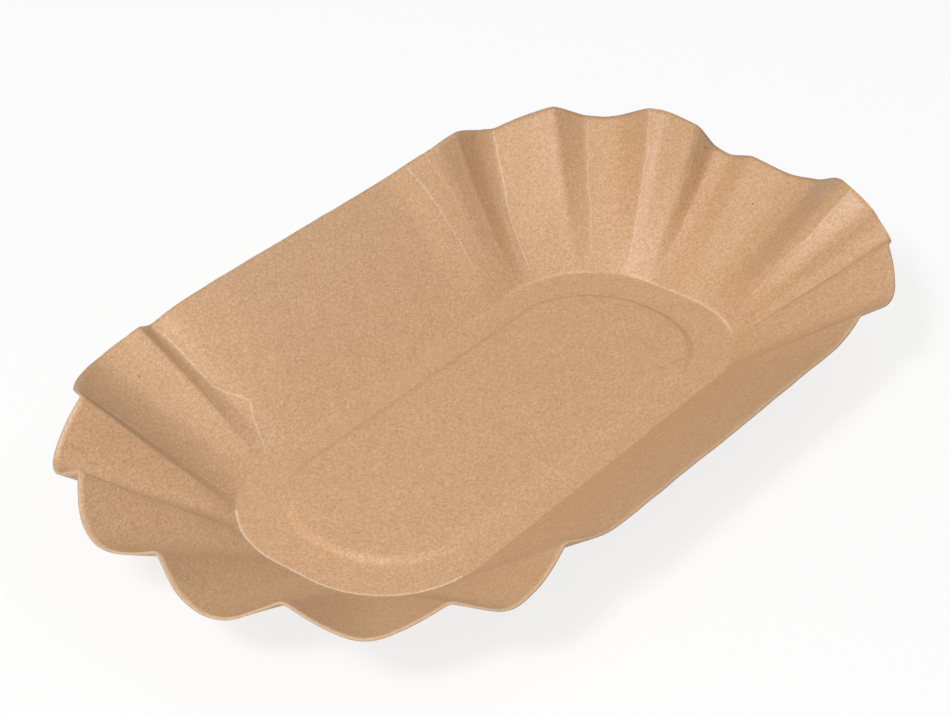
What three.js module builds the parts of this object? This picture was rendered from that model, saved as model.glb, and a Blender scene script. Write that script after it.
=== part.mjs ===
// Pressed paper food tray: one sheet of kraft board, drawn into a shallow oblong dish.
// Millimetres, +Z up, +X along the tray. The tray stands on z = 0, centred on the origin.
//
// The floor is a flat rounded rectangle with a raised oblong plateau pressed into it. The wall
// is a plain slope along the two long sides and is gathered into flutes round both ends. Every
// flute starts at the floor's edge and opens toward the rim, so the wall is made of straight
// lines from the floor's edge to the rim that lean more at a crest and less in a lobe.
import * as THREE from 'three';

// The sheet.
const boardThickness = 0.45;
const kraftColour = 0xc9a17d;

// The floor, measured at its edge, where the wall starts to bend up.
const floorLength = 115;
const floorWidth = 46.6;
const floorCornerRadius = 19.6;
const bendRadius = 1.4;

// The wall, measured on the slant. The sheet's own corners are rounder than the floor's but
// less round than a band of even width would make them, so the wall is widest at the corners.
// The sheet lay a little off centre in the press, toward the far end.
const wallWidth = 33.8;
const sheetCornerRadius = 48;
const sheetOffset = 1;

// The plateau, measured half way down its step. Its ends are round but for a short flat.
const plateauLength = 98.4;
const plateauWidth = 35.4;
const plateauEndFlat = 1.8;
const plateauHeight = 0.9;
const plateauStepWidth = 1.7;

// Flutes: the distance from crest to crest along the wall's edge, and how steeply the wall
// stands, in degrees from the floor, on the crests, in the lobes and on the plain long sides.
const flutePitch = 26.2;
const crestSlope = 38;
const lobeSlope = 29.5;
const shoulderSlope = 35;
const sideSlope = 38;

// Pressing leaves no two flutes alike. The lists give how many millimetres each crest lies off
// its even place, and how many degrees each crest, each lobe between two crests and the
// shoulder past each outermost crest stand off the slopes above, from the -Y to the +Y side.
const farEnd = {
  direction: 1,
  crestShift: [0.5, -2, -4, 3, -1.5, -4, -3.5],
  crestLean: [2, 3, 2, -2.5, 4, 1, 6],
  lobeLean: [3.5, 2.5, 0.5, 0.5, 1.5, 2.5],
  shoulderLean: [0, 4],
};
const nearEnd = {
  direction: -1,
  crestShift: [2.5, 1, 3.5, 6, 4.5, -1, 2],
  crestLean: [4, -1, -3, -4, -3, 1, -2],
  lobeLean: [2.5, -1, -5.5, -4.5, -2.5, 1.5],
  shoulderLean: [0, -1],
};

// How finely the surface is cut into facets.
const stepsPerFlute = 12;
const stepsPerLongSide = 6;
const stepsInBend = 2;
const stepsUpWall = 4;

const halfTurn = Math.PI;
const quarterTurn = Math.PI / 2;

const floorOutline = {
  halfLength: floorLength / 2,
  halfWidth: floorWidth / 2,
  cornerRadius: floorCornerRadius,
};

function plateauOutline(growth) {
  return {
    halfLength: plateauLength / 2 + growth,
    halfWidth: plateauWidth / 2 + growth,
    cornerRadius: (plateauWidth - plateauEndFlat) / 2 + growth,
  };
}

// A place on an outline is one of three stretches of a quarter, from the end's middle to the
// long side's middle, with how far along the stretch it lies and which quarter it is in.
function pointOnOutline(outline, place) {
  const endReach = outline.halfWidth - outline.cornerRadius;
  const sideReach = outline.halfLength - outline.cornerRadius;
  const angle = place.stretch === 'end' ? 0 : place.stretch === 'side' ? quarterTurn : place.share * quarterTurn;
  const alongEnd = place.stretch === 'end' ? place.share * endReach : endReach;
  const alongSide = place.stretch === 'side' ? (1 - place.share) * sideReach : sideReach;
  const outward = new THREE.Vector3(Math.cos(angle), Math.sin(angle), 0);
  const point = new THREE.Vector3(alongSide, alongEnd, 0).addScaledVector(outward, outline.cornerRadius);
  const quarter = new THREE.Vector3(place.end, place.side, 1);
  return { point: point.multiply(quarter), outward: outward.multiply(quarter) };
}

// Lengths along the wall's edge, as an even band of wall would have them.
const fanRadius = floorCornerRadius + wallWidth;
const fanLength = fanRadius * quarterTurn;
const endReach = floorWidth / 2 - floorCornerRadius;
const sideReach = floorLength / 2 - floorCornerRadius;

function placeAlongEnd(end, position) {
  const distance = Math.abs(position);
  const side = position < 0 ? -1 : 1;
  if (distance <= endReach) {
    return { stretch: 'end', share: distance / endReach, end, side };
  }
  if (distance <= endReach + fanLength) {
    return { stretch: 'corner', share: (distance - endReach) / fanLength, end, side };
  }
  return { stretch: 'side', share: (distance - endReach - fanLength) / sideReach, end, side };
}

// The slant width of the wall at an angle round the corner, from the floor's edge to the edge
// of the sheet, whose corner is centred farther out than the floor's corner.
function wallWidthAt(place, outward) {
  return evenWallWidthAt(place) + outward.x * sheetOffset;
}

function evenWallWidthAt(place) {
  if (place.stretch !== 'corner') {
    return wallWidth;
  }
  const angle = place.share * quarterTurn;
  const offset = fanRadius - sheetCornerRadius;
  const toStraight = fanRadius / Math.max(Math.cos(angle), Math.sin(angle));
  if (toStraight * Math.min(Math.cos(angle), Math.sin(angle)) <= offset) {
    return toStraight - floorCornerRadius;
  }
  const across = offset * (Math.cos(angle) - Math.sin(angle));
  const along = offset * (Math.cos(angle) + Math.sin(angle));
  return along + Math.sqrt(sheetCornerRadius ** 2 - across ** 2) - floorCornerRadius;
}

// The folds along an end, from one plain long side to the other: where each lies along the
// wall's edge, the slope there, and the slope in the middle of the lobe or shoulder after it.
function foldsOfEnd(end) {
  const middle = (end.crestLean.length - 1) / 2;
  const lobes = end.lobeLean.map((lean) => lobeSlope + lean);
  const shoulders = end.shoulderLean.map((lean) => shoulderSlope + lean);
  const crests = end.crestLean.map((lean, index) => ({
    position: (index - middle) * flutePitch + end.crestShift[index],
    slope: crestSlope + lean,
    slopeAfter: index < lobes.length ? lobes[index] : shoulders[1],
  }));
  const reach = (middle + 1) * flutePitch;
  const start = { position: -reach, slope: sideSlope, slopeAfter: shoulders[0] };
  return [start, ...crests, { position: reach, slope: sideSlope }];
}

// Every station is one line up the wall: its place on the outlines and the slope there. Crests
// are sharp folds and the lobes between them are round.
function stationsOfEnd(end) {
  const folds = foldsOfEnd(end);
  const stations = [];
  for (let index = 0; index < folds.length - 1; index += 1) {
    const before = folds[index];
    const after = folds[index + 1];
    const dip = (before.slope + after.slope) / 2 - before.slopeAfter;
    for (let step = 0; step < stepsPerFlute; step += 1) {
      const share = step / stepsPerFlute;
      const position = THREE.MathUtils.lerp(before.position, after.position, share);
      const level = THREE.MathUtils.lerp(before.slope, after.slope, share);
      stations.push(stationAt(end, position, level - dip * Math.sin(halfTurn * share)));
    }
  }
  const last = folds[folds.length - 1];
  return [...stations, stationAt(end, last.position, last.slope)];
}

function stationAt(end, position, slope) {
  const place = placeAlongEnd(end.direction, position);
  return { place, slope: THREE.MathUtils.degToRad(slope) };
}

function stationsOfLongSide(side, fromEnd) {
  const plainStart = (farEnd.crestLean.length + 1) * flutePitch / 2;
  const startShare = placeAlongEnd(fromEnd, plainStart).share;
  const stations = [];
  for (let step = 1; step < stepsPerLongSide; step += 1) {
    const across = THREE.MathUtils.lerp(1 - startShare, startShare - 1, step / stepsPerLongSide);
    const end = across < 0 ? -fromEnd : fromEnd;
    const place = { stretch: 'side', share: 1 - Math.abs(across), end, side };
    stations.push({ place, slope: THREE.MathUtils.degToRad(sideSlope) });
  }
  return stations;
}

function stationsRoundTray() {
  return [
    ...stationsOfEnd(farEnd),
    ...stationsOfLongSide(1, 1),
    ...stationsOfEnd(nearEnd).reverse(),
    ...stationsOfLongSide(-1, -1),
  ];
}

// A ring holds, for every station, a point in the middle of the board and the direction in
// which the board runs outward from there.
function flatRing(stations, outline, height) {
  return stations.map(({ place }) => {
    const { point, outward } = pointOnOutline(outline, place);
    return { point: point.setZ(height), outward };
  });
}

// A ring in the bend at the wall's foot or on the straight wall above it: bendShare runs from
// 0 at the floor's edge to 1 at the end of the bend, wallShare from there to the rim.
function wallRing(stations, bendShare, wallShare) {
  return stations.map(({ place, slope }) => {
    const { point, outward } = pointOnOutline(floorOutline, place);
    const turned = slope * bendShare;
    const straight = (wallWidthAt(place, outward) - bendRadius * slope) * wallShare;
    const run = bendRadius * Math.sin(turned) + straight * Math.cos(slope);
    const rise = bendRadius * (1 - Math.cos(turned)) + straight * Math.sin(slope);
    point.addScaledVector(outward, run);
    point.z = rise;
    const direction = outward.multiplyScalar(Math.cos(turned)).setZ(Math.sin(turned));
    return { point, outward: direction };
  });
}

function ringsOfSheet(stations) {
  const rings = [
    flatRing(stations, plateauOutline(-plateauStepWidth / 2), plateauHeight),
    flatRing(stations, plateauOutline(plateauStepWidth / 2), 0),
  ];
  for (let step = 0; step <= stepsInBend; step += 1) {
    rings.push(wallRing(stations, step / stepsInBend, 0));
  }
  for (let step = 1; step <= stepsUpWall; step += 1) {
    rings.push(wallRing(stations, 1, step / stepsUpWall));
  }
  return rings;
}

// One face of the board: every ring moved square to the board by half its thickness.
function offsetRing(ring, distance) {
  return ring.map(({ point, outward }, index) => {
    const before = ring[(index + ring.length - 1) % ring.length].point;
    const after = ring[(index + 1) % ring.length].point;
    const around = new THREE.Vector3().subVectors(after, before);
    const upward = new THREE.Vector3().crossVectors(outward, around).normalize();
    return point.clone().addScaledVector(upward, distance);
  });
}

// The closed sheet: the inner face from the plateau out to the rim, over the cut edge, and
// back along the underside, with a fan of facets closing the plateau on both faces.
function sheetGeometry() {
  const rings = ringsOfSheet(stationsRoundTray());
  const innerFace = rings.map((ring) => offsetRing(ring, boardThickness / 2));
  const underside = rings.map((ring) => offsetRing(ring, -boardThickness / 2)).reverse();
  const shell = [...innerFace, ...underside];
  const count = shell[0].length;
  const firstRing = shell[0];
  const lastRing = shell[shell.length - 1];
  const middles = [firstRing, lastRing].map((ring) => new THREE.Vector3(0, 0, ring[0].z));
  const innerMiddle = shell.length * count;
  const undersideMiddle = innerMiddle + 1;
  const triangles = [];
  for (let index = 0; index < count; index += 1) {
    const next = (index + 1) % count;
    triangles.push(innerMiddle, index, next);
    for (let ring = 0; ring < shell.length - 1; ring += 1) {
      const here = ring * count + index;
      const beside = ring * count + next;
      triangles.push(here, here + count, beside + count);
      triangles.push(here, beside + count, beside);
    }
    const lastStart = (shell.length - 1) * count;
    triangles.push(undersideMiddle, lastStart + next, lastStart + index);
  }
  const geometry = new THREE.BufferGeometry().setFromPoints([...shell.flat(), ...middles]);
  geometry.setIndex(triangles);
  return geometry;
}

// Stands the sheet on z = 0 and centres it over the origin.
function centreOnFloor(geometry) {
  geometry.computeBoundingBox();
  const { min, max } = geometry.boundingBox;
  geometry.translate(-(min.x + max.x) / 2, -(min.y + max.y) / 2, -min.z);
  geometry.computeVertexNormals();
  return geometry;
}

function makeTray() {
  const kraftBoard = new THREE.MeshStandardMaterial({
    color: kraftColour,
    roughness: 0.85,
    metalness: 0,
  });
  const tray = new THREE.Mesh(centreOnFloor(sheetGeometry()), kraftBoard);
  tray.name = 'paper_tray';
  return tray;
}

const foodTray = new THREE.Group();
foodTray.add(makeTray());

export default foodTray;
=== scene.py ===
# Kraft paper food tray in Blender: one sheet of board pressed finely, its kraft finish, a plain studio.
import math

import bmesh
import bpy
from mathutils import Matrix, Vector, noise


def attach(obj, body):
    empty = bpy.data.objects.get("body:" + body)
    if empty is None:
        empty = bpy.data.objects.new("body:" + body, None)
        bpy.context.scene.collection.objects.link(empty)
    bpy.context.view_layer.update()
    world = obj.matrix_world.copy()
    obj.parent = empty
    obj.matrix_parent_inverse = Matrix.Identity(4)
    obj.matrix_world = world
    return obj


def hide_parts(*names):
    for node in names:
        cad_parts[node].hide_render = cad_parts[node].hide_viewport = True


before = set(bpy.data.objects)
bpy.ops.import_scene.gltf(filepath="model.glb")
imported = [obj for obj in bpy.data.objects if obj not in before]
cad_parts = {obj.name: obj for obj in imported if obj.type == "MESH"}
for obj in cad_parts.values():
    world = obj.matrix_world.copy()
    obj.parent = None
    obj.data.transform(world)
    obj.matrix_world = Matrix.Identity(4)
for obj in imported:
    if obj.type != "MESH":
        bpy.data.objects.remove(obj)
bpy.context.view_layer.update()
mm = 0.001

# The pressed sheet, in millimetres and degrees.
sheet = {
    "thickness": 0.45,
    "standX": -0.085,
    "standY": -0.146,
    "floorLength": 115.0,
    "floorWidth": 46.6,
    "floorCorner": 19.6,
    "bendRadius": 1.4,
    "wallWidth": 33.8,
    "sheetCorner": 48.0,
    "sheetOffset": 1.0,
    "plateauLength": 98.4,
    "plateauWidth": 35.4,
    "plateauEndFlat": 1.8,
    "plateauHeight": 0.9,
    "plateauStep": 2.3,
    "innerRadius": 0.4,
    "endReach": 104.8,
    "sideSlope": 38.0,
    "stationGap": 0.75,
    "leastStations": 4,
    "stationCrowding": 0.6,
    "stepsPerSide": 40,
    "stepsInPlateau": 8,
    "stepsInStep": 8,
    "stepsInRing": 4,
    "stepsInBend": 6,
    "stepsUpWall": 30,
}

# The folds of each end, from the -Y side to the +Y side: the fold's place along the wall's edge,
# its slope in degrees, how far its rounding reaches to each side, and how far its foot drifts.
# The wall's edge is measured from the middle of its end.
farEnd = {
    "direction": 1,
    "seamPlace": 0.0,
    "folds": (
        (-104.8, 38.0, 4.0, 0.0),
        (-91.0, 38.0, 3.0, 0.0),
        (-81.0, 41.0, 1.0, 0.0),
        (-69.0, 34.6, 4.0, 0.0),
        (-58.0, 39.8, 2.0, 0.0),
        (-53.5, 41.5, 0.8, 0.0),
        (-49.5, 38.6, 0.8, 0.0),
        (-45.0, 42.3, 2.0, 0.0),
        (-39.0, 41.8, 2.0, 0.0),
        (-34.3, 47.0, 0.8, 0.0),
        (-29.8, 47.0, 1.5, 0.0),
        (-24.5, 42.4, 1.2, 0.0),
        (-15.8, 32.0, 1.5, -0.5),
        (-8.0, 28.3, 3.0, -2.0),
        (1.6, 31.6, 0.8, -3.7),
        (7.7, 26.8, 1.5, -5.7),
        (11.8, 28.6, 1.0, -5.0),
        (14.3, 39.4, 0.8, -4.0),
        (22.5, 45.0, 2.0, -3.5),
        (26.0, 43.9, 0.8, -3.5),
        (32.5, 34.5, 2.5, -2.0),
        (36.5, 31.9, 2.0, 0.0),
        (41.2, 32.9, 0.8, 0.0),
        (48.8, 40.6, 0.8, 0.0),
        (61.5, 31.2, 1.2, 11.0),
        (66.5, 34.0, 2.0, 10.5),
        (75.2, 42.9, 0.8, 9.0),
        (84.0, 45.5, 4.0, 7.0),
        (90.5, 42.0, 3.0, 5.0),
        (97.0, 38.0, 3.0, 2.0),
        (104.8, 38.0, 3.0, 0.0),
    ),
}
nearEnd = {
    "direction": -1,
    "seamPlace": 500.0,
    "folds": (
        (-104.8, 38.0, 4.0, 0.0),
        (-88.0, 38.5, 4.0, 0.0),
        (-77.3, 43.3, 1.2, 0.0),
        (-69.0, 36.0, 2.0, 0.0),
        (-62.0, 31.2, 3.0, 0.0),
        (-52.0, 37.0, 1.2, 0.0),
        (-45.0, 32.0, 2.0, 0.0),
        (-37.5, 27.2, 4.0, 0.0),
        (-30.0, 30.5, 3.0, 0.0),
        (-22.4, 35.3, 1.2, 0.0),
        (-13.0, 25.8, 4.0, 0.0),
        (-7.4, 23.9, 3.0, 0.0),
        (-2.0, 26.0, 2.0, 0.0),
        (4.6, 34.2, 1.0, 0.0),
        (11.0, 28.6, 3.0, 0.0),
        (17.0, 25.7, 4.0, 0.0),
        (23.0, 27.8, 3.0, 0.0),
        (31.0, 37.5, 0.9, 0.0),
        (36.6, 29.3, 2.0, 0.0),
        (40.9, 28.5, 2.0, 0.0),
        (45.7, 36.7, 2.0, 0.0),
        (50.0, 44.0, 0.9, 0.0),
        (57.5, 37.3, 0.9, 0.0),
        (66.0, 33.0, 3.0, 0.0),
        (74.0, 29.8, 3.0, 1.0),
        (80.0, 32.0, 1.5, 2.0),
        (84.3, 36.0, 0.8, 3.0),
        (89.3, 30.2, 1.2, 3.0),
        (93.5, 35.2, 2.0, 2.5),
        (104.8, 38.0, 4.0, 0.0),
    ),
}

# The sheet's map has the seam round the tray along it and the way up the sheet across it, in units
# of 100 mm. The seam's length is nominal. The plateau and the floor lie below zero, and the bend
# between the floor and the wall runs from zero to bendTop.
mapUnit = 100.0
seamLength = 1000.0
mapHeights = {"plateau": -10.0, "floor": -8.0, "bendTop": 1.2}

# How far the pressed board strays from its true form, over what size and from where in the noise,
# in millimetres. It strays fully from fullHeight up the wall, and not at all in the floor.
unevenness = {
    "broad": 0.22,
    "broadSize": 30.0,
    "broadPlace": (3.1, 7.7, 1.3),
    "small": 0.05,
    "smallSize": 7.0,
    "smallPlace": (9.4, 2.2, 5.8),
    "rim": 0.12,
    "rimSize": 5.0,
    "fullHeight": 12.0,
}


def roundedPoint(halfLength, halfWidth, corner, place):
    endReach = halfWidth - corner
    sideReach = halfLength - corner
    stretch, share, end, side = place
    angle = {"end": 0.0, "corner": share * math.pi / 2, "side": math.pi / 2}[stretch]
    x = sideReach * (1 - share) if stretch == "side" else sideReach
    y = endReach * share if stretch == "end" else endReach
    outward = Vector((math.cos(angle) * end, math.sin(angle) * side, 0))
    return Vector((x * end, y * side, 0)) + outward * corner, outward


def placeAlongEnd(end, position):
    distance = abs(position)
    side = -1 if position < 0 else 1
    endReach = sheet["floorWidth"] / 2 - sheet["floorCorner"]
    fanLength = (sheet["floorCorner"] + sheet["wallWidth"]) * math.pi / 2
    sideReach = sheet["floorLength"] / 2 - sheet["floorCorner"]
    if distance <= endReach:
        return ("end", distance / endReach, end["direction"], side)
    if distance <= endReach + fanLength:
        return ("corner", (distance - endReach) / fanLength, end["direction"], side)
    return ("side", (distance - endReach - fanLength) / sideReach, end["direction"], side)


def wallWidthAt(place, outward):
    stretch, share = place[:2]
    width = sheet["wallWidth"]
    if stretch == "corner":
        # the sheet's own corner is centred farther out than the floor's, so the wall widens here
        turned = (math.cos(share * math.pi / 2), math.sin(share * math.pi / 2))
        fan = sheet["floorCorner"] + width
        offset = fan - sheet["sheetCorner"]
        toStraight = fan / max(turned)
        if toStraight * min(turned) <= offset:
            width = toStraight - sheet["floorCorner"]
        else:
            across = offset * (turned[0] - turned[1])
            along = offset * (turned[0] + turned[1])
            width = along + math.sqrt(sheet["sheetCorner"] ** 2 - across**2) - sheet["floorCorner"]
    return width + outward.x * sheet["sheetOffset"]


def betweenFolds(folds, position, column):
    for start, stop in zip(folds, folds[1:]):
        if position <= stop[0]:
            share = (position - start[0]) / (stop[0] - start[0])
            return start[column] + (stop[column] - start[column]) * share
    return folds[-1][column]


def slopeAt(folds, position):
    # straight from fold to fold, with a parabola round each fold
    for before, fold, after in zip(folds, folds[1:], folds[2:]):
        reach = min(fold[2], (fold[0] - before[0]) / 2, (after[0] - fold[0]) / 2)
        if abs(position - fold[0]) < reach:
            share = (position - fold[0] + reach) / (2 * reach)
            low = betweenFolds(folds, fold[0] - reach, 1)
            high = betweenFolds(folds, fold[0] + reach, 1)
            return (1 - share) ** 2 * low + 2 * share * (1 - share) * fold[1] + share**2 * high
    return betweenFolds(folds, position, 1)


def stationAt(end, position):
    # a station is one line up the wall, with its slope, its foot's drift and its place on the seam
    return {
        "end": end,
        "position": position,
        "slope": math.radians(slopeAt(end["folds"], position)),
        "drift": betweenFolds(end["folds"], position, 3),
        "seam": end["seamPlace"] + end["direction"] * position,
    }


def stationsOfEnd(end):
    stations = []
    folds = end["folds"]
    for start, stop in zip(folds, folds[1:]):
        length = stop[0] - start[0]
        steps = max(sheet["leastStations"], round(length / sheet["stationGap"]))
        for step in range(steps):
            # the stations crowd together near the folds
            even = step / steps
            share = even - sheet["stationCrowding"] * math.sin(2 * math.pi * even) / (2 * math.pi)
            stations.append(stationAt(end, start[0] + length * share))
    stations.append(stationAt(end, folds[-1][0]))
    return stations


def stationsOfSide(side, fromEnd, seamStart, seamStop):
    # the plain stretch of a long side, between the two ends' folds
    plainStart = placeAlongEnd(farEnd, sheet["endReach"])[1]
    stations = []
    for step in range(1, sheet["stepsPerSide"]):
        share = step / sheet["stepsPerSide"]
        across = (1 - plainStart) * (1 - 2 * share)
        direction = fromEnd if across >= 0 else -fromEnd
        station = {
            "place": ("side", 1 - abs(across), direction, side),
            "slope": math.radians(sheet["sideSlope"]),
            "seam": seamStart + (seamStop - seamStart) * share,
        }
        stations.append(station)
    return stations


def stationsRoundTray():
    reach = sheet["endReach"]
    near = nearEnd["seamPlace"]
    stations = stationsOfEnd(farEnd)
    stations += stationsOfSide(1, 1, reach, near - reach)
    stations += list(reversed(stationsOfEnd(nearEnd)))
    stations += stationsOfSide(-1, -1, near + reach, seamLength - reach)
    return stations


def placeOf(station, wallShare):
    if "place" in station:
        return station["place"]
    return placeAlongEnd(station["end"], station["position"] + station["drift"] * (1 - wallShare))


def plateauCorner():
    return (sheet["plateauWidth"] - sheet["plateauEndFlat"]) / 2


def flatRing(stations, growth, height):
    halfLength = sheet["plateauLength"] / 2 + growth
    halfWidth = sheet["plateauWidth"] / 2 + growth
    corner = plateauCorner() + growth
    points = []
    for station in stations:
        point = roundedPoint(halfLength, halfWidth, corner, placeOf(station, 0))[0]
        points.append(point + Vector((0, 0, height)))
    return points


def wallRing(stations, bendShare, wallShare):
    # a ring some share of the way round the bend and up the wall
    halfLength = sheet["floorLength"] / 2
    halfWidth = sheet["floorWidth"] / 2
    points = []
    for station in stations:
        slope = station["slope"]
        place = placeOf(station, wallShare)
        foot, outward = roundedPoint(halfLength, halfWidth, sheet["floorCorner"], place)
        turned = slope * bendShare
        straight = (wallWidthAt(place, outward) - sheet["bendRadius"] * slope) * wallShare
        run = sheet["bendRadius"] * math.sin(turned) + straight * math.cos(slope)
        rise = sheet["bendRadius"] * (1 - math.cos(turned)) + straight * math.sin(slope)
        points.append(foot + outward * run + Vector((0, 0, rise)))
    return points


def sheetRings(stations):
    # each ring: its height on the sheet's map, from the plateau out to the rim, and its points
    rings = []
    halfStep = sheet["plateauStep"] / 2
    innermost = sheet["innerRadius"] - plateauCorner()
    for step in range(sheet["stepsInPlateau"]):
        growth = innermost + (-halfStep - innermost) * step / sheet["stepsInPlateau"]
        points = flatRing(stations, growth, sheet["plateauHeight"])
        rings.append((mapHeights["plateau"] + growth, points))
    for step in range(sheet["stepsInStep"] + 1):
        share = step / sheet["stepsInStep"]
        eased = share * share * (3 - 2 * share)
        growth = -halfStep + sheet["plateauStep"] * share
        points = flatRing(stations, growth, sheet["plateauHeight"] * (1 - eased))
        rings.append((mapHeights["plateau"] + growth, points))
    plateauFoot = rings[-1][1]
    floorEdge = wallRing(stations, 0, 0)
    for step in range(1, sheet["stepsInRing"]):
        share = step / sheet["stepsInRing"]
        points = [inner.lerp(outer, share) for inner, outer in zip(plateauFoot, floorEdge)]
        rings.append((mapHeights["floor"] - mapHeights["floor"] * share, points))
    bendTop = mapHeights["bendTop"]
    for step in range(sheet["stepsInBend"] + 1):
        height = bendTop * step / sheet["stepsInBend"]
        rings.append((height, wallRing(stations, step / sheet["stepsInBend"], 0)))
    for step in range(1, sheet["stepsUpWall"] + 1):
        share = step / sheet["stepsUpWall"]
        height = bendTop + (sheet["wallWidth"] - bendTop) * share
        rings.append((height, wallRing(stations, 1, share)))
    return rings


def moveRing(ring, points):
    for vert, point in zip(ring, points):
        vert.co = point


def extrudeRing(bm, ring):
    # draws the outer loop out once more and gives its new vertices in the same order
    pairs = zip(ring, ring[1:] + ring[:1])
    edges = [bm.edges.get(pair) for pair in pairs]
    made = bmesh.ops.extrude_edge_only(bm, edges=edges)["geom"]
    fresh = {item for item in made if isinstance(item, bmesh.types.BMVert)}
    outer = []
    for vert in ring:
        neighbours = [edge.other_vert(vert) for edge in vert.link_edges]
        outer.append(next(neighbour for neighbour in neighbours if neighbour in fresh))
    return outer


def pressSheet(bm):
    # sheet from the middle of the plateau out to the rim, seen side up
    stations = stationsRoundTray()
    rings = sheetRings(stations)
    stationLayer = bm.verts.layers.int.new("station")
    heightLayer = bm.verts.layers.float.new("upSheet")
    ring = bmesh.ops.create_circle(bm, cap_ends=True, segments=len(stations), radius=1)["verts"]
    for number, (height, points) in enumerate(rings):
        if number:
            ring = extrudeRing(bm, ring)
        moveRing(ring, points)
        for index, vert in enumerate(ring):
            vert[stationLayer] = index
            vert[heightLayer] = height
    bmesh.ops.recalc_face_normals(bm, faces=bm.faces)
    if sum(face.normal.z for face in bm.faces) < 0:
        bmesh.ops.reverse_faces(bm, faces=bm.faces)
    return stations, ring


def layOutSheet(bm, stations):
    # the sheet's own map, for the fold lines
    stationLayer = bm.verts.layers.int["station"]
    heightLayer = bm.verts.layers.float["upSheet"]
    sheetMap = bm.loops.layers.uv.new("sheetMap")
    last = len(stations) - 1
    for face in bm.faces:
        crossesSeam = any(loop.vert[stationLayer] == last for loop in face.loops)
        for loop in face.loops:
            station = loop.vert[stationLayer]
            along = stations[station]["seam"]
            if crossesSeam and station == 0:
                along = seamLength + along
            loop[sheetMap].uv = (along / mapUnit, loop.vert[heightLayer] / mapUnit)


def roughen(bm, rim):
    # the flat floor stays flat, so that the tray stands on z = 0
    heightLayer = bm.verts.layers.float["upSheet"]
    broadPlace = Vector(unevenness["broadPlace"])
    smallPlace = Vector(unevenness["smallPlace"])
    bm.normal_update()
    shifts = []
    for vert in bm.verts:
        free = min(max(vert[heightLayer] / unevenness["fullHeight"], 0), 1)
        broad = noise.noise(vert.co / unevenness["broadSize"] + broadPlace)
        small = noise.noise(vert.co / unevenness["smallSize"] + smallPlace)
        amount = (unevenness["broad"] * broad + unevenness["small"] * small) * free
        shifts.append(vert.normal * amount)
    for vert, shift in zip(bm.verts, shifts):
        vert.co += shift
    for vert in rim:
        along = Vector((vert.co.x, vert.co.y, 0)).normalized()
        vert.co += along * unevenness["rim"] * noise.noise(vert.co / unevenness["rimSize"])


def standOnFloor(bm):
    # the sheet's middle goes half its thickness up, with its floor over the solid's floor
    shift = Vector((sheet["standX"], sheet["standY"], sheet["thickness"] / 2))
    bmesh.ops.translate(bm, verts=bm.verts, vec=shift)


def makeTray():
    bm = bmesh.new()
    stations, rim = pressSheet(bm)
    layOutSheet(bm, stations)
    standOnFloor(bm)
    roughen(bm, rim)
    bmesh.ops.scale(bm, vec=(mm, mm, mm), verts=bm.verts)
    for face in bm.faces:
        face.smooth = True
    mesh = bpy.data.meshes.new("kraftTray")
    bm.to_mesh(mesh)
    bm.free()
    tray = bpy.data.objects.new("kraftTray", mesh)
    bpy.context.scene.collection.objects.link(tray)
    board = tray.modifiers.new("boardThickness", "SOLIDIFY")
    board.thickness = sheet["thickness"] * mm
    board.offset = 0
    board.use_even_offset = True
    board.use_quality_normals = True
    board.material_offset_rim = 1
    return tray


# A small node writer: adds nodes to a tree, sets their inputs and links them. An input goes by its
# name, or by its number (i0, i1 and so on) where a node has several of one name.
class NodeWriter:
    def __init__(self, tree):
        self.tree = tree

    def add(self, kind, settings=None, **inputs):
        node = self.tree.nodes.new(kind)
        for name, value in (settings or {}).items():
            setattr(node, name, value)
        for name, value in inputs.items():
            key = int(name[1:]) if name[0] == "i" and name[1:].isdigit() else name.replace("_", " ")
            self.put(node.inputs[key], value)
        return node

    def put(self, socket, value):
        if isinstance(value, bpy.types.NodeSocket):
            self.tree.links.new(value, socket)
        else:
            socket.default_value = value

    def math(self, operation, first, second, clamp=False):
        settings = {"operation": operation, "use_clamp": clamp}
        return self.add("ShaderNodeMath", settings, i0=first, i1=second).outputs[0]

    def vectorMath(self, operation, *operands, **inputs):
        inputs.update({f"i{number}": operand for number, operand in enumerate(operands)})
        return self.add("ShaderNodeVectorMath", {"operation": operation}, **inputs)

    def remap(self, value, fromLow, fromHigh, toLow, toHigh):
        limits = {"From_Min": fromLow, "From_Max": fromHigh, "To_Min": toLow, "To_Max": toHigh}
        return self.add("ShaderNodeMapRange", {"clamp": True}, Value=value, **limits).outputs["Result"]

    def noise(self, vector, **inputs):
        return self.add("ShaderNodeTexNoise", {"noise_dimensions": "3D"}, Vector=vector, **inputs)

    def blend(self, share, first, second):
        settings = {"data_type": "RGBA", "clamp_factor": True}
        return self.add("ShaderNodeMix", settings, Factor=share, i6=first, i7=second).outputs[2]


def newMaterial(name):
    material = bpy.data.materials.new(name)
    material.use_nodes = True
    material.node_tree.nodes.clear()
    return material, NodeWriter(material.node_tree)


def newGroup(name, vectors, values, results):
    # a node group that takes vectors and values in, and gives values out
    group = bpy.data.node_groups.new(name, "ShaderNodeTree")
    for socketName in vectors:
        group.interface.new_socket(socketName, in_out="INPUT", socket_type="NodeSocketVector")
    for socketName in values:
        group.interface.new_socket(socketName, in_out="INPUT", socket_type="NodeSocketFloat")
    for socketName in results:
        group.interface.new_socket(socketName, in_out="OUTPUT", socket_type="NodeSocketFloat")
    writer = NodeWriter(group)
    return group, writer, group.nodes.new("NodeGroupInput"), group.nodes.new("NodeGroupOutput")


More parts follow.
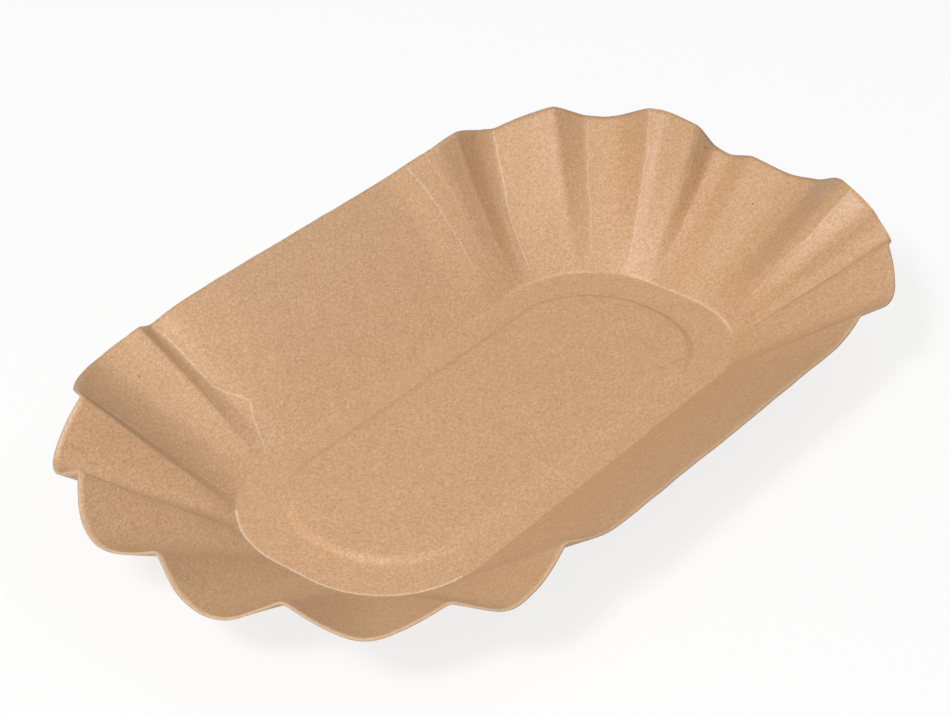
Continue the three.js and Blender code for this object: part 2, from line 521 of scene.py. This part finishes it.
# The fibres: each set of streaks has its turn in radians and how thin it is squeezed.
fibreLook = {
    "streaks": ((0.35, 0.28), (1.4, 0.30), (2.45, 0.26)),
    "turnShareX": 0.3,
    "turnShareY": 0.2,
    "streakScale": 0.34,
    "streakDetail": 2.0,
    "streakDistortion": 0.6,
    "streakShare": 0.55,
    "grainDetail": 3.0,
    "grainRoughness": 0.6,
    "grainShare": 0.45,
    "cloudDetail": 3.0,
    "cloudRoughness": 0.55,
}


def makeFibreGroup():
    # matted kraft fibres: short streaks that lie every way over a fine grain, and a soft cloudiness
    inputs = ("Fibre Size", "Cloud Size")
    group, nodes, given, result = newGroup("kraftFibres", ("Vector",), inputs, ("Tone", "Cloud"))
    place = given.outputs["Vector"]
    fibreScale = nodes.math("DIVIDE", 1 / mm, given.outputs["Fibre Size"])
    cloudScale = nodes.math("DIVIDE", 1 / mm, given.outputs["Cloud Size"])
    streakScale = nodes.math("MULTIPLY", fibreScale, fibreLook["streakScale"])
    streaks = None
    for turn, squeeze in fibreLook["streaks"]:
        turned = nodes.add(
            "ShaderNodeMapping",
            {"vector_type": "TEXTURE"},
            Vector=place,
            Rotation=(turn * fibreLook["turnShareX"], turn * fibreLook["turnShareY"], turn),
            Scale=(1.0, squeeze, squeeze),
        )
        streak = nodes.noise(
            turned.outputs[0],
            Scale=streakScale,
            Detail=fibreLook["streakDetail"],
            Distortion=fibreLook["streakDistortion"],
        ).outputs["Fac"]
        streaks = streak if streaks is None else nodes.math("MAXIMUM", streaks, streak)
    grain = nodes.noise(
        place,
        Scale=fibreScale,
        Detail=fibreLook["grainDetail"],
        Roughness=fibreLook["grainRoughness"],
    ).outputs["Fac"]
    cloud = nodes.noise(
        place,
        Scale=cloudScale,
        Detail=fibreLook["cloudDetail"],
        Roughness=fibreLook["cloudRoughness"],
    ).outputs["Fac"]
    streakPart = nodes.math("MULTIPLY", streaks, fibreLook["streakShare"])
    grainPart = nodes.math("MULTIPLY", grain, fibreLook["grainShare"])
    nodes.put(result.inputs["Tone"], nodes.math("ADD", streakPart, grainPart))
    nodes.put(result.inputs["Cloud"], cloud)
    return group


# The specks: their spacing in millimetres, then their radius as a share of it.
speckLook = {"spacing": 5.0, "radius": 0.06, "softEdge": 0.35, "keptShare": 0.32}


def makeSpeckGroup():
    # rare dark bits of bark and shive in the pulp
    group, nodes, given, result = newGroup("pulpSpecks", ("Vector",), ("Spacing", "Radius"), ("Mask",))
    place = given.outputs["Vector"]
    scale = nodes.math("DIVIDE", 1 / mm, given.outputs["Spacing"])
    cells = nodes.add("ShaderNodeTexVoronoi", {"feature": "F1"}, Vector=place, Scale=scale)
    chance = nodes.add("ShaderNodeSeparateColor", Color=cells.outputs["Color"])
    radius = nodes.math("MULTIPLY", given.outputs["Radius"], chance.outputs["Red"])
    inside = nodes.math("SUBTRACT", radius, cells.outputs["Distance"])
    softEdge = nodes.math("MULTIPLY", given.outputs["Radius"], speckLook["softEdge"])
    soft = nodes.math("DIVIDE", inside, softEdge, clamp=True)
    kept = nodes.math("LESS_THAN", chance.outputs["Green"], speckLook["keptShare"])
    nodes.put(result.inputs["Mask"], nodes.math("MULTIPLY", soft, kept))
    return group


# The pale fold lines, whitened fibres in the creases and a painted highlight along the crests:
# how sharply they fade across, how far and how finely they sway along the edge, and how high they
# stand for the bump.
foldLook = {"fade": 1.5, "swayReach": 3.5, "swayScale": 90.0, "height": 0.8}

# Each fold line on the sheet's map: start and end as (along the edge, up the wall) in millimetres,
# then half width and strength.
foldLines = (
    ((61.8, 33.0), (61.6, 4.0), 0.45, 0.50),
    ((62.6, 22.0), (67.0, 3.0), 0.35, 0.40),
    ((92.0, 33.0), (89.0, 9.0), 0.40, 0.40),
    ((87.5, 33.0), (84.5, 8.0), 0.35, 0.30),
    ((40.5, 33.0), (40.0, 5.0), 0.35, 0.28),
    ((25.6, 34.0), (25.4, 4.0), 0.50, 0.25),
    ((14.3, 34.0), (14.0, 17.0), 0.35, 0.25),
    ((-34.0, 34.0), (-33.8, 7.0), 0.45, 0.35),
    ((-52.8, 35.0), (-53.0, 5.0), 0.45, 0.50),
    ((-50.0, 33.0), (-49.0, 14.0), 0.35, 0.35),
    ((24.0, 0.9), (-44.0, 0.9), 0.80, 0.42),
    ((84.0, 1.2), (38.0, 0.9), 0.60, 0.25),
    ((442.5, 34.0), (442.8, 3.0), 0.45, 0.60),
    ((410.8, 33.0), (410.5, 18.0), 0.40, 0.45),
    ((410.5, 18.0), (407.5, 12.0), 0.40, 0.45),
    ((407.5, 12.0), (413.0, 3.0), 0.40, 0.40),
    ((468.6, 34.0), (469.0, 4.0), 0.40, 0.35),
    ((452.0, 0.25), (580.0, 0.25), 0.65, 0.80),
    ((580.0, 0.9), (850.0, 0.9), 0.70, 0.25),
)


def makeFoldLineGroup():
    # one thin fold line on the sheet's map, from a start to an end, in millimetres
    vectors, values = ("Sheet", "Start", "End"), ("Width", "Strength", "Before")
    group, nodes, given, result = newGroup("foldLine", vectors, values, ("Mask",))
    start = given.outputs["Start"]
    along = nodes.vectorMath("SUBTRACT", given.outputs["End"], start).outputs["Vector"]
    away = nodes.vectorMath("SUBTRACT", given.outputs["Sheet"], start).outputs["Vector"]
    reach = nodes.vectorMath("DOT_PRODUCT", away, along).outputs["Value"]
    square = nodes.vectorMath("DOT_PRODUCT", along, along).outputs["Value"]
    share = nodes.math("DIVIDE", reach, square, clamp=True)
    nearest = nodes.vectorMath("SCALE", along, Scale=share).outputs["Vector"]
    apart = nodes.vectorMath("SUBTRACT", away, nearest).outputs["Vector"]
    distance = nodes.vectorMath("LENGTH", apart).outputs["Value"]
    near = nodes.math("SUBTRACT", 1.0, nodes.math("DIVIDE", distance, given.outputs["Width"]), clamp=True)
    faded = nodes.math("POWER", near, foldLook["fade"])
    line = nodes.math("MULTIPLY", faded, given.outputs["Strength"])
    nodes.put(result.inputs["Mask"], nodes.math("MAXIMUM", line, given.outputs["Before"]))
    return group


def drawFoldLines(nodes, place, foldLine):
    # all the fold lines in one mask, each laid over the ones before it
    onMap = nodes.add("ShaderNodeUVMap", {"uv_map": "sheetMap"}).outputs[0]
    millimetres = nodes.vectorMath("SCALE", onMap, Scale=mapUnit).outputs["Vector"]
    sway = nodes.noise(place, Scale=foldLook["swayScale"]).outputs["Color"]
    centred = nodes.vectorMath("SUBTRACT", sway, (0.5, 0.5, 0.5)).outputs["Vector"]
    reach = (foldLook["swayReach"], 0.0, 0.0)
    swayed = nodes.vectorMath("MULTIPLY_ADD", centred, reach, millimetres).outputs["Vector"]
    mask = 0.0
    for start, end, width, strength in foldLines:
        line = nodes.add(
            "ShaderNodeGroup",
            {"node_tree": foldLine},
            Sheet=swayed,
            Start=(*start, 0.0),
            End=(*end, 0.0),
            Width=width,
            Strength=strength,
            Before=mask,
        )
        mask = line.outputs["Mask"]
    return mask


# The kraft finish. Tones and clouds read: from low, from high, to low, to high.
kraft = {
    "colour": (0.580, 0.345, 0.180, 1.0),
    "paleFibre": (0.70, 0.46, 0.275, 1.0),
    "darkFibre": (0.475, 0.262, 0.128, 1.0),
    "speck": (0.16, 0.085, 0.045, 1.0),
    # pale colour of the fold lines: whitened fibres in the creases, painted highlight along the crests
    "whitenedAndHighlit": (0.90, 0.74, 0.57, 1.0),
    "paleTones": (0.53, 0.64, 0.0, 0.9),
    "darkTones": (0.53, 0.43, 0.0, 0.9),
    "darkClouds": (0.35, 0.65, 0.18, 0.0),
    "wornAndHighlitTones": (0.42, 0.60, 0.45, 1.0),
    "roughTones": (0.4, 0.7),
    "roughness": 0.52,
    "roughnessSpread": 0.06,
    "specular": 0.75,
    "fibreSize": 0.40,
    "cloudSize": 3.0,
    "bump": 0.25,
    "bumpDistance": 0.0002,
}


def makeKraft(fibres, specks, foldLine):
    material, nodes = newMaterial("kraftBoard")
    place = nodes.add("ShaderNodeTexCoord").outputs["Object"]
    fibre = nodes.add(
        "ShaderNodeGroup",
        {"node_tree": fibres},
        Vector=place,
        Fibre_Size=kraft["fibreSize"],
        Cloud_Size=kraft["cloudSize"],
    )
    speck = nodes.add(
        "ShaderNodeGroup",
        {"node_tree": specks},
        Vector=place,
        Spacing=speckLook["spacing"],
        Radius=speckLook["radius"],
    )
    tone = fibre.outputs["Tone"]
    pale = nodes.remap(tone, *kraft["paleTones"])
    dark = nodes.remap(tone, *kraft["darkTones"])
    cloudy = nodes.remap(fibre.outputs["Cloud"], *kraft["darkClouds"])
    folds = drawFoldLines(nodes, place, foldLine)
    # the fold lines lighten the board: whitened fibres in the creases, painted highlight along the crests
    wornAndHighlit = nodes.math("MULTIPLY", folds, nodes.remap(tone, *kraft["wornAndHighlitTones"]))
    colour = nodes.blend(pale, kraft["colour"], kraft["paleFibre"])
    colour = nodes.blend(dark, colour, kraft["darkFibre"])
    colour = nodes.blend(cloudy, colour, kraft["darkFibre"])
    colour = nodes.blend(wornAndHighlit, colour, kraft["whitenedAndHighlit"])
    colour = nodes.blend(speck.outputs["Mask"], colour, kraft["speck"])
    bump = nodes.add(
        "ShaderNodeBump",
        Height=nodes.math("ADD", tone, nodes.math("MULTIPLY", folds, foldLook["height"])),
        Strength=kraft["bump"],
        Distance=kraft["bumpDistance"],
    )
    roughest = kraft["roughness"] + kraft["roughnessSpread"]
    smoothest = kraft["roughness"] - kraft["roughnessSpread"]
    shader = nodes.add(
        "ShaderNodeBsdfPrincipled",
        Base_Color=colour,
        Roughness=nodes.remap(tone, *kraft["roughTones"], roughest, smoothest),
        Specular_IOR_Level=kraft["specular"],
        Normal=bump.outputs[0],
    )
    nodes.add("ShaderNodeOutputMaterial", Surface=shader.outputs[0])
    return material


cutEdge = {
    "darkPulp": (0.49, 0.315, 0.185, 1.0),
    "palePulp": (0.62, 0.44, 0.29, 1.0),
    "paleTones": (0.4, 0.65, 0.0, 1.0),
    "roughness": 0.85,
    "fibreSize": 0.3,
    "bump": 0.5,
    "bumpDistance": 0.0002,
}


def makeCutEdge(fibres):
    # the sheared edge shows the pulp's pale core
    material, nodes = newMaterial("cutEdge")
    place = nodes.add("ShaderNodeTexCoord").outputs["Object"]
    settings = {"node_tree": fibres}
    fibre = nodes.add("ShaderNodeGroup", settings, Vector=place, Fibre_Size=cutEdge["fibreSize"])
    tone = fibre.outputs["Tone"]
    pale = nodes.remap(tone, *cutEdge["paleTones"])
    bump = nodes.add(
        "ShaderNodeBump",
        Height=tone,
        Strength=cutEdge["bump"],
        Distance=cutEdge["bumpDistance"],
    )
    shader = nodes.add(
        "ShaderNodeBsdfPrincipled",
        Base_Color=nodes.blend(pale, cutEdge["darkPulp"], cutEdge["palePulp"]),
        Roughness=cutEdge["roughness"],
        Normal=bump.outputs[0],
    )
    nodes.add("ShaderNodeOutputMaterial", Surface=shader.outputs[0])
    return material


def dressTray(tray):
    fibres = makeFibreGroup()
    board = makeKraft(fibres, makeSpeckGroup(), makeFoldLineGroup())
    tray.data.materials.append(board)
    tray.data.materials.append(makeCutEdge(fibres))


# The camera: degrees and millimetres, with the focal length in pixels of a picture that wide.
camera = {
    "compass": -143.5,
    "elevation": 33.6,
    "roll": 1.89,
    "distance": 482.0,
    "target": (14.2, 16.0, 0.0),
    "focalPixels": 2517.0,
    "pictureWidth": 950.0,
    "sensorWidth": 36.0,
    "clipStart": 10.0,
}

# The studio: millimetres, degrees and watts. Each lamp has its name, its compass angle and
# elevation, its distance, its size and its power.
studio = {
    "floorSize": 6000.0,
    "floorColour": (0.86, 0.86, 0.86, 1.0),
    "floorLift": 0.82,
    "liftColour": (1.0, 1.0, 1.0, 1.0),
    "worldColour": (1.0, 1.0, 1.0, 1.0),
    "worldStrength": 0.30,
    "lamps": (
        ("keyLamp", -174.0, 47.0, 1100.0, 220.0, 9.3),
        ("fillLamp", -30.0, 60.0, 1200.0, 900.0, 2.8),
    ),
}


def facing(compass, elevation):
    # the direction from the tray toward something at that angle
    turn, tilt = math.radians(compass), math.radians(elevation)
    return Vector((math.cos(tilt) * math.cos(turn), math.cos(tilt) * math.sin(turn), math.sin(tilt)))


def placeLooking(item, back, roll, position):
    # turns a camera or lamp so that its back faces that way
    right = Vector((0, 0, 1)).cross(back).normalized()
    up = back.cross(right)
    turn = math.radians(roll)
    side = right * math.cos(turn) + up * math.sin(turn)
    top = up * math.cos(turn) - right * math.sin(turn)
    item.matrix_world = Matrix.Translation(position) @ Matrix((side, top, back)).transposed().to_4x4()


def placeCamera():
    data = bpy.data.cameras.new("photoCamera")
    data.sensor_fit = "HORIZONTAL"
    data.sensor_width = camera["sensorWidth"]
    data.lens = camera["focalPixels"] * data.sensor_width / camera["pictureWidth"]
    data.clip_start = camera["clipStart"] * mm
    item = bpy.data.objects.new("photoCamera", data)
    bpy.context.scene.collection.objects.link(item)
    back = facing(camera["compass"], camera["elevation"])
    target = Vector(camera["target"]) * mm
    placeLooking(item, back, camera["roll"], target + back * camera["distance"] * mm)
    bpy.context.scene.camera = item


def layFloor():
    bm = bmesh.new()
    bmesh.ops.create_grid(bm, x_segments=1, y_segments=1, size=studio["floorSize"] * mm / 2)
    mesh = bpy.data.meshes.new("studioFloor")
    bm.to_mesh(mesh)
    bm.free()
    floor = bpy.data.objects.new("studioFloor", mesh)
    bpy.context.scene.collection.objects.link(floor)
    material, nodes = newMaterial("studioFloor")
    paint = nodes.add("ShaderNodeBsdfDiffuse", Color=studio["floorColour"])
    lift = nodes.add("ShaderNodeEmission", Color=studio["liftColour"])
    # the camera sees the floor nearly white, while the tray is lit by the painted floor
    seen = nodes.add("ShaderNodeLightPath").outputs["Is Camera Ray"]
    share = nodes.math("MULTIPLY", seen, studio["floorLift"])
    mix = nodes.add("ShaderNodeMixShader", i0=share, i1=paint.outputs[0], i2=lift.outputs[0])
    nodes.add("ShaderNodeOutputMaterial", Surface=mix.outputs[0])
    mesh.materials.append(material)


def lightStudio():
    world = bpy.data.worlds.new("studioWorld")
    world.use_nodes = True
    sky = world.node_tree.nodes["Background"]
    sky.inputs["Color"].default_value = studio["worldColour"]
    sky.inputs["Strength"].default_value = studio["worldStrength"]
    bpy.context.scene.world = world
    for name, compass, elevation, distance, size, power in studio["lamps"]:
        data = bpy.data.lights.new(name, "AREA")
        data.shape = "DISK"
        data.size = size * mm
        data.energy = power
        lamp = bpy.data.objects.new(name, data)
        bpy.context.scene.collection.objects.link(lamp)
        back = facing(compass, elevation)
        placeLooking(lamp, back, 0, back * distance * mm)


tray = makeTray()
print("tray pressed:", len(tray.data.polygons), "faces")
dressTray(tray)
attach(tray, "root")
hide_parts("paper_tray")
print("kraft finish on")
placeCamera()
layFloor()
lightStudio()
print("studio lit")

bpy.context.scene.view_settings.view_transform = "Standard"
